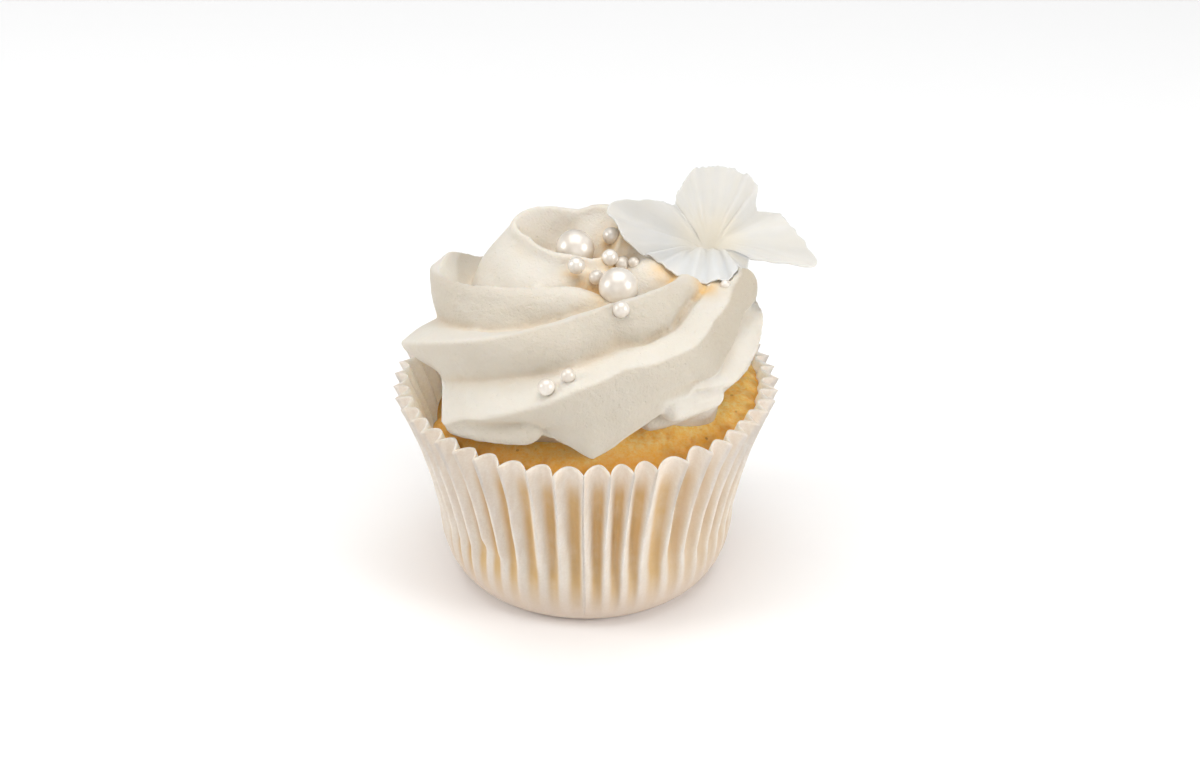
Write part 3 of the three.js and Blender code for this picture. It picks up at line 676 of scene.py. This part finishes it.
def sponge_point(u, v):
    """A point of the sponge: u goes round it, v from the base's middle up the side and over the dome."""
    azimuth = 360 * u
    side, edge, _ = SPONGE_SIDE[-1]
    if v > side:
        r = edge * (1 - (v - side) / (1 - side))
        z = dome_at(r)
    else:
        r, z = spline(SPONGE_SIDE, v)
    shrink = shrunk_at(azimuth)
    r -= 2.8 * shrink * smooth(20, 29, r)
    z -= 4.0 * shrink * smooth(19, 27, r) * smooth(20, 33, z)
    full = filled_at(azimuth)
    r += 1.4 * full * smooth(22, 29.5, r) * smooth(28, 35, z)
    z += 1.2 * full * smooth(24, 29.5, r) * smooth(28, 35, z)
    x, y, _ = polar(r, azimuth, z)
    top = smooth(31, 35, z)
    swell = smooth(0, 12, r) * top * (sin(radians(3 * azimuth)) + sin(radians(7 * azimuth)))
    r += 0.1 * swell
    crumb = top * (0.28 * ripple(x, y, z, 2.6) + 0.16 * ripple(x + 9, y, z, 1.1))
    pit = top * 0.55 * smooth(0.42, 0.6, ripple(x, y + 40, z, 1.5))
    return polar(r + 0.3 * crumb * (r > 1), azimuth, z + 0.15 * swell + crumb - pit)


def sponge():
    bm = sheet(300, 110, sponge_point)
    bmesh.ops.recalc_face_normals(bm, faces=bm.faces)
    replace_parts(piece("vanilla_sponge", bm, baked_sponge()), "sponge")


# ---- buttercream ----
def tuck(azimuth, turn, reach):
    """How far the rope is drawn in under its upper ridge on the left, to a flat upright face."""
    if not 150 < azimuth < 222:
        return 0.0
    crest = azimuth - FIRST_RIDGE - 2 * PITCH
    below = smooth(150, 176, azimuth) * (1 - smooth(crest - 36, crest - 3, turn))
    return below * max(0.0, reach + LEFT_FACE / cos(radians(azimuth)))


def rope_section(azimuth, turn):
    """(radius, height) of the rope's outline, between the sections on either side of this azimuth."""
    a = azimuth % 360
    if a < SECTIONS[0][0]:
        a += 360
    if a >= SECTIONS[-1][0]:
        return spline(STANDARD, turn)
    i = 0
    while a > SECTIONS[i + 1][0]:
        i += 1
    (start, here), (end, following) = SECTIONS[i], SECTIONS[i + 1]
    f = smooth(start, end, a) if following is STANDARD else (a - start) / (end - start)
    p, q = spline(here, turn), spline(following, turn)
    return lerp(p[0], q[0], f), lerp(p[1], q[1], f)


def hollow_at(azimuth):
    """Where the deep hollow lies between the ring and the curl, 0 to 1."""
    return smooth(80, 110, azimuth) * (1 - smooth(196, 226, azimuth))


@lru_cache(maxsize=None)
def rope_foot(azimuth):
    """Outline rows (turn, radius, height) where the rope meets the sponge."""
    foot = spline(FOOT, azimuth)[0]
    seat = dome_at(min(foot, SPONGE_RADIUS - 0.5)) - 0.6 - 3.6 * shrunk_at(azimuth)
    r0, z0 = rope_section(azimuth, 0)
    return (
        (-60, 18, 32.5), (-42, foot - 1, seat - 3), (-26, foot, seat),
        (-14, (foot + r0) / 2, max(lerp(seat, z0, 0.75), RIM_CLEAR)), (0, r0, z0),
        (15, *rope_section(azimuth, 15)), (30, *rope_section(azimuth, 30)),
    )


@lru_cache(maxsize=None)
def rope_hull(azimuth, turn):
    """Outline of the rope through its crests, (radius, height)."""
    if turn < 0 or turn > 300:
        return spline(rope_foot(azimuth), turn if turn < 0 else turn - 360)
    r, z = rope_section(azimuth, turn)
    lip = spline(HOLLOW_LIP, azimuth)[0]
    sag = smooth(85, 115, azimuth) * (1 - smooth(136, 164, azimuth))
    here = sag * smooth(20, 75, turn) * (1 - smooth(150, 200, turn))
    r, z = r - DIP_IN * here, z - DIP_DOWN * here
    hollow = hollow_at(azimuth)
    if hollow > 0 and lip < turn < 200:
        lip_r, lip_z = spline(STANDARD, lip)
        f = (turn - lip) / (200 - lip)
        r = lerp(r, lerp(lip_r - DIP_IN * sag, INNER[0][1], f), hollow)
        z = lerp(z, lerp(lip_z - DIP_DOWN * sag, HOLLOW_FLOOR, 1 - (1 - f) ** 3.4), hollow)
    return r, z


def rope_point(azimuth, turn):
    """A point of the piped rope: its outline, pressed in between crests that wind once round it per lap."""
    r, z = rope_hull(azimuth, turn)
    # The direction that a valley is pressed in is taken over a longer stretch round the foot at the back.
    step = 1.5 + 5 * smooth(15, 50, azimuth) * (1 - smooth(150, 185, azimuth)) * (1 - smooth(20, 45, turn))
    r1, z1 = rope_hull(azimuth, turn - step)
    r2, z2 = rope_hull(azimuth, turn + step)
    length = hypot(r2 - r1, z2 - z1)
    phase = (azimuth - FIRST_RIDGE - turn) / PITCH
    lip = spline(HOLLOW_LIP, azimuth)[0]
    share = spline(DEPTH_SHARE, turn)[0] * (1 - hollow_at(azimuth) * smooth(lip - 14, lip - 2, turn))
    number = floor(phase)
    lap = azimuth if number >= 0 else azimuth + 360
    factor, crease, bulge, edge = spline(VALLEYS.get(number % RIDGES, PLAIN_VALLEY), lap)
    part = phase - number
    over = edge * (min(part, crease) / crease) ** bulge
    under = ((1 - max(part, crease)) / (1 - crease)) ** 0.95
    groove = lerp(over, under, smooth(crease - 0.02, crease + 0.03, part))
    depth = VALLEY_DEPTH * share * factor * groove
    if number == 2:
        # A sharp crease at the bottom of this valley, on the right.
        depth += 1.3 * smooth(278, 298, azimuth) * exp(-(((part - crease) / 0.09) ** 2))
    # Fine drag lines along the rope, and a slight unevenness in the squeeze.
    depth += 0.10 * share * ripple(phase * 30, azimuth / 25, 0, 2.0)
    depth += 0.35 * share * ripple(azimuth / 9, phase * 3, 5, 1.6)
    reach = r - depth * (z2 - z1) / length
    return polar(reach - tuck(azimuth, turn, reach), azimuth, z + depth * (r2 - r1) / length)


def laid_ring(u, v):
    """The rope joined into a ring, laid so that a line of the same v follows a ridge."""
    azimuth = 360 * (u % 1.0)
    turn = (azimuth - FIRST_RIDGE - 360 * (v % 1.0) + 60) % 360 - 60
    return rope_point(azimuth, turn)


def curl_point(u, v):
    """The curl that ends the rope: a flank, a sharp lip and a bowl behind it."""
    a = 360 * (u % 1.0)
    r, z = spline(CURL_LIP, a - 360 if a > 340 else a)
    # The lip is thickest at its highest place.
    thick = 1 + 0.9 * smooth(0, 25, a) * (1 - smooth(50, 75, a))
    rows = [
        (0, 46), (10, 46), (16.2, 50), (15.2, 54.5), (lerp(13.6, r + 7, 0.5), 58.5),
        (lerp(12, r + 4, 0.6), 62), (r + 1.3 * thick, z - 2), (r + 0.4 * thick, z - 0.35),
        (r - 0.4 * thick, z - 0.15), (r * 0.85, z - 1.8), (r * 0.7, z - 3.8),
        (r * 0.4, 61), (r * 0.18, 60.2), (0, 60),
    ]
    at = spline([(i, *row) for i, row in enumerate(rows)], v * (len(rows) - 1))
    x, y, height = polar(max(at[0], 0) if 0 < v < 1 else 0, a, at[1])
    return CURL_CENTRE[0] + x, CURL_CENTRE[1] + y, height


def rope_turns(at):
    """Each point's azimuth, and its turn round the rope."""
    around = np.degrees(np.arctan2(at[:, 1], at[:, 0])) % 360
    r = np.hypot(at[:, 0], at[:, 1])
    angle = np.degrees(np.arctan2(at[:, 2] - CORE_HEIGHT, r - CORE_RADIUS))
    turns = np.arange(-20, 181, 4.0)
    found = np.zeros(len(at))
    for azimuth in range(360):
        here = np.floor(around).astype(int) == azimuth
        rows = [rope_hull(azimuth, t) for t in turns]
        angles = [degrees(atan2(z - CORE_HEIGHT, r - CORE_RADIUS)) for r, z in rows]
        grows = np.maximum.accumulate(angles)
        found[here] = np.interp(angle[here], grows, turns)
    return around, found


def flanks(at):
    """Marks the flank under each ridge, 0 to 1: roughened by the nozzle's tooth, and darkened with painted
    shade, most in the band on the right.
    """
    around, turn = rope_turns(at)
    phase = (around - FIRST_RIDGE - turn) / PITCH
    number = np.floor(phase)
    part = phase - number
    wide = np.where(number % RIDGES == 3, 1.0, 0.0)
    end = np.where(wide > 0, np.interp(around, *zip(*WIDE_FLANK)), 0.56)
    dark = lerp(0.5, 0.75, wide * np.clip((around - 304) / 16, 0, 1))
    drag_and_shade = dark * np.clip(part / 0.05, 0, 1) * np.clip((end - part) / 0.05, 0, 1)
    clear = np.clip((np.hypot(at[:, 0] - CURL_CENTRE[0], at[:, 1] - CURL_CENTRE[1]) - 15.5) / 4, 0, 1)
    return drag_and_shade * clear * np.clip((172 - turn) / 20, 0, 1)


def mark_cream(mesh):
    """Marks the crevices for painted shade, and the places near the beads and under the flower where light
    soaks through, for painted light.
    """
    at = read(mesh, "vertices", "co", 3) / MM
    edges = read(mesh, "edges", "vertices", 2, np.int32)
    normals = read(mesh, "vertices", "normal", 3)
    # Crevices are what lies below a smoothed copy of the surface.
    flat = at.copy()
    for _ in range(60):
        flat = neighbour_mean(len(at), edges, flat)
    hollow = np.clip(((flat - at) * normals).sum(1) / 0.9, 0, 1)
    # The first lap's broken end on the right gets no painted shade, and no drag on its flank.
    around, z = np.degrees(np.arctan2(at[:, 1], at[:, 0])) % 360, at[:, 2]
    broken = ramp(294, 299, around) * (1 - ramp(321, 325, around)) * ramp(44, 45, z) * (1 - ramp(48.5, 50, z))
    unshaded = 1 - broken * (np.hypot(at[:, 0], at[:, 1]) > 26)
    glow = np.zeros(len(at))
    sources = [(x, y, z - 1, r * 1.4) for x, y, z, r in SMALL_BEADS[:5]] + WARM_SPOTS
    for x, y, z, reach in sources:
        away = np.linalg.norm(at - np.array([x, y, z]), axis=1)
        glow = np.maximum(glow, np.minimum(1, 1.35 * np.exp(-((away / reach) ** 2))))
    mark(mesh, {
        "hollow": hollow * 0.5 * unshaded,
        "glow": glow * (0.7 + 0.3 * hollow),
        "flank": flanks(at) * unshaded,
    })


def press_in(mesh, balls):
    """Pushes the cream out of each ball pressed into it, but for a thin bite that holds the ball."""
    at = read(mesh, "vertices", "co", 3) / MM
    for x, y, z, r in balls:
        centre = np.array([x, y, z])
        out = at - centre
        away = np.linalg.norm(out, axis=1)
        bed = r * 0.97
        inside = away < bed
        at[inside] = centre + out[inside] / np.maximum(away[inside], 1e-6)[:, None] * bed
    mesh.vertices.foreach_set("co", (at * MM).astype(np.float32).ravel())


def roughen(mesh):
    """Gives the cream its broad unevenness and the torn look of some crests."""
    bm = bmesh.new()
    bm.from_mesh(mesh)
    for vert in bm.verts:
        x, y, z = vert.co / MM
        lift = 0.10 * ripple(x, y, z, 7.0) + 0.08 * ripple(x, y, z + 50, 2.4)
        torn = smooth(0.05, 0.5, ripple(x + 20, y, z, 6.0))
        lift += (0.04 + 0.14 * torn) * ripple(x, y, z, 1.0)
        vert.co += vert.normal * lift * MM
    bm.to_mesh(mesh)
    bm.free()


def lobe_point(lobe, u, v):
    """A rounded end of the rope's first lap, lying on the sponge under the lowest ridge."""
    start, end, wide, high = lobe
    azimuth, radius, height = (lerp(a, b, v) for a, b in zip(start, end))
    near, cap = min(v, 1 - v), 0.16
    size = max(0.0, 1 - ((cap - near) / cap) ** 2) ** 0.5 if near < cap else 1
    a = 2 * pi * u
    return polar(radius + wide * size * cos(a), azimuth, height + high * size * sin(a))


def piped_cream():
    bm = sheet(300, 300, laid_ring)
    other = sheet(150, 90, curl_point)
    bmesh.ops.recalc_face_normals(bm, faces=bm.faces)
    bmesh.ops.recalc_face_normals(other, faces=other.faces)
    join(bm, other)
    for lobe in LOBES:
        end = sheet(40, 60, lambda u, v: lobe_point(lobe, u, v))
        bmesh.ops.recalc_face_normals(end, faces=end.faces)
        join(bm, end)
    low, wide, depth, height = (size * MM for size in BED)
    bed = Matrix.Translation((0, 0, height))
    bmesh.ops.create_cone(bm, cap_ends=True, segments=64, radius1=low, radius2=wide, depth=depth, matrix=bed)
    for x, y, z, wide, high in MOUNDS:
        mound = Matrix.Translation(Vector((x, y, z)) * MM) @ Matrix.Diagonal((wide, wide, high, 1))
        bmesh.ops.create_uvsphere(bm, u_segments=64, v_segments=32, radius=MM, matrix=mound)
    buttercream = whipped_buttercream()
    cream = piece("piped_buttercream", bm, buttercream)
    skin = ("REMESH", {"mode": "VOXEL", "voxel_size": SKIN_CELL * MM})
    settle(cream, skin, ("SMOOTH", {"factor": 0.5, "iterations": 1}))
    roughen(cream.data)
    seat_flower(cream.data)
    press_in(cream.data, [(*at, LARGE_BEAD) for at in LARGE_BEADS.values()] + SMALL_BEADS)
    mark_cream(cream.data)
    dress(cream, buttercream)
    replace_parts(cream, "frosting")


# ---- sugar beads ----
def ball(bm, x, y, z, r, segments):
    """Adds a bead, a little out of round."""
    matrix = Matrix.Translation(Vector((x, y, z)) * MM)
    rings = segments // 2
    made = bmesh.ops.create_uvsphere(bm, u_segments=segments, v_segments=rings, radius=r * MM, matrix=matrix)
    for vert in made["verts"]:
        px, py, pz = vert.co / MM
        vert.co += (vert.co - matrix.translation) * 0.012 * ripple(px, py, pz, r)


def sugar_beads():
    pearl = pearl_dragee()
    for name, (x, y, z) in LARGE_BEADS.items():
        bm = bmesh.new()
        ball(bm, x, y, z, LARGE_BEAD, 48)
        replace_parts(piece("pearl_" + name[-1], bm, pearl), name)
    bm = bmesh.new()
    for x, y, z, r in SMALL_BEADS:
        ball(bm, x, y, z, r, 32)
    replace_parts(piece("small_pearls", bm, pearl), "frosting")


# ---- flower ----
def flower_edge(azimuth):
    """(reach, height) of the petals' edge."""
    a = (azimuth - SEAM) % 360 + SEAM
    return spline(PETAL_EDGE, a)


def flower_height(azimuth, reach):
    """Height of the flower over its centre: throat, softly folded petals and the front one's rolled lip."""
    a = (azimuth - SEAM) % 360 + SEAM
    reach_end, height_end = flower_edge(a)
    out = min(1.0, max(0.0, reach / reach_end))
    start, end = next(p for p in PETALS if a <= p[1])
    across = (a - start) / (end - start)
    spread = smooth(2.0, 7.0, reach)
    height = height_end * max(0.0, out - 0.12) ** 1.3 / 0.88 ** 1.3
    height -= THROAT_DEPTH * exp(-((reach / 2.7) ** 2))
    height += 0.6 * (0.5 - across) * spread
    height += 0.5 * (2 * across - 1) ** 2 * out ** 2
    for place, rise, width in FOLDS:
        height += rise * exp(-(((a - place) / width) ** 2)) * spread
    front = smooth(222, 246, a) * (1 - smooth(296, 322, a))
    height += 1.7 * front * exp(-(((reach - 5.2) / 2.2) ** 2))
    return height + 0.25 * out ** 3 * ripple(a / 6, 1, 3, 1.0)


def flower_point(azimuth, share):
    """A point of the flower: share 0 is the bottom of the throat and 1 the petals' edge."""
    reach = share * flower_edge(azimuth)[0]
    reach *= 1 + 0.02 * share ** 4 * ripple(azimuth / 3, 2, 5, 1.0)
    return tuple(FLOWER_CENTRE + Vector(polar(reach, azimuth, flower_height(azimuth, reach))))


def seat_flower(mesh):
    """Presses the cream down under the flower."""
    for vert in mesh.vertices:
        x, y, z = vert.co / MM - FLOWER_CENTRE
        reach, azimuth = hypot(x, y), degrees(atan2(y, x))
        if reach < 19 and -6 < z < 3:
            edge = flower_edge(azimuth)[0]
            if reach < edge + 0.5:
                top = flower_height(azimuth, min(reach, edge)) - PETAL
                if z > top:
                    vert.co.z = (FLOWER_CENTRE.z + top) * MM


def white_flower():
    bm = sheet(540, 70, lambda u, v: flower_point(360 * u + SEAM, v))
    bmesh.ops.recalc_face_normals(bm, faces=bm.faces)
    petal = white_petal()
    flower = piece("white_flower", bm, petal)
    settle(flower, ("SOLIDIFY", {"thickness": PETAL * MM, "offset": 0.0}))
    mark_petals(flower.data)
    dress(flower, petal)
    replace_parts(flower, "flower")


def mark_petals(mesh):
    """Marks how far out each point lies, as a share of 20 mm, the veins, and the front petal's rolled lip,
    which gets painted light.
    """
    marks = {"reach": [], "vein": [], "lip": []}
    for vert in mesh.vertices:
        x, y, _ = vert.co / MM - FLOWER_CENTRE
        r, a = hypot(x, y), degrees(atan2(y, x))
        wave = abs(sin(radians(a * VEINS / 2 + 20 * ripple(x, y, 0, 6))))
        front = smooth(212, 236, a % 360) * (1 - smooth(300, 326, a % 360))
        marks["reach"].append(r / 20)
        marks["vein"].append(smooth(0.5, 1.0, wave) * smooth(3, 7, r))
        marks["lip"].append(front * smooth(3.5, 7, r))
    mark(mesh, marks)


# ---- studio ----
def studio():
    bm = bmesh.new()
    bmesh.ops.create_grid(bm, x_segments=2, y_segments=2, size=3.0)
    mesh = bpy.data.meshes.new("floor")
    bm.to_mesh(mesh)
    bm.free()
    floor_sheet = bpy.data.objects.new("floor", mesh)
    mesh.materials.append(studio_floor())
    bpy.context.scene.collection.objects.link(floor_sheet)

    world = bpy.data.worlds.new("white_room")
    bpy.context.scene.world = world
    world.use_nodes = True
    background = world.node_tree.nodes["Background"]
    background.inputs["Color"].default_value = tint("#FFFFFF")
    background.inputs["Strength"].default_value = 0.17

    for name, place, size, power in (
        ("softbox_top", (0.0, 0.02, 0.80), 0.75, 5.1), ("softbox_left", (-0.68, -0.10, 0.33), 0.36, 2.2),
        ("softbox_right", (0.62, -0.32, 0.33), 0.36, 2.5), ("front_card", (0.0, -0.68, 0.30), 0.5, 0.9),
    ):
        light = bpy.data.lights.new(name, "AREA")
        light.shape = "SQUARE"
        light.size = size
        light.energy = power
        lamp = bpy.data.objects.new(name, light)
        lamp.location = place
        lamp.rotation_euler = (Vector((0, 0, 0.045)) - Vector(place)).to_track_quat("-Z", "Y").to_euler()
        bpy.context.scene.collection.objects.link(lamp)


def camera():
    """A long lens 0.6 m away, 29.5 degrees above the table."""
    elevation, distance, lens_per_width = radians(29.5), 0.6, 2.75
    aim, right_of_aim, below_aim = Vector((0, 0, 0.0382)), 2.545 * MM, 2.364 * MM
    back = Vector((0, -cos(elevation), sin(elevation)))
    up = Vector((0, sin(elevation), cos(elevation)))
    right = Vector((1, 0, 0))
    data = bpy.data.cameras.new("camera")
    data.sensor_width = 36
    data.lens = data.sensor_width * lens_per_width
    data.clip_start = 0.01
    obj = bpy.data.objects.new("camera", data)
    obj.location = aim + back * distance + right * right_of_aim - up * below_aim
    obj.rotation_euler = (-back).to_track_quat("-Z", "Y").to_euler()
    bpy.context.scene.collection.objects.link(obj)
    bpy.context.scene.camera = obj


camera()
paper_case()
sponge()
piped_cream()
sugar_beads()
white_flower()
studio()
bpy.context.scene.view_settings.view_transform = "Standard"
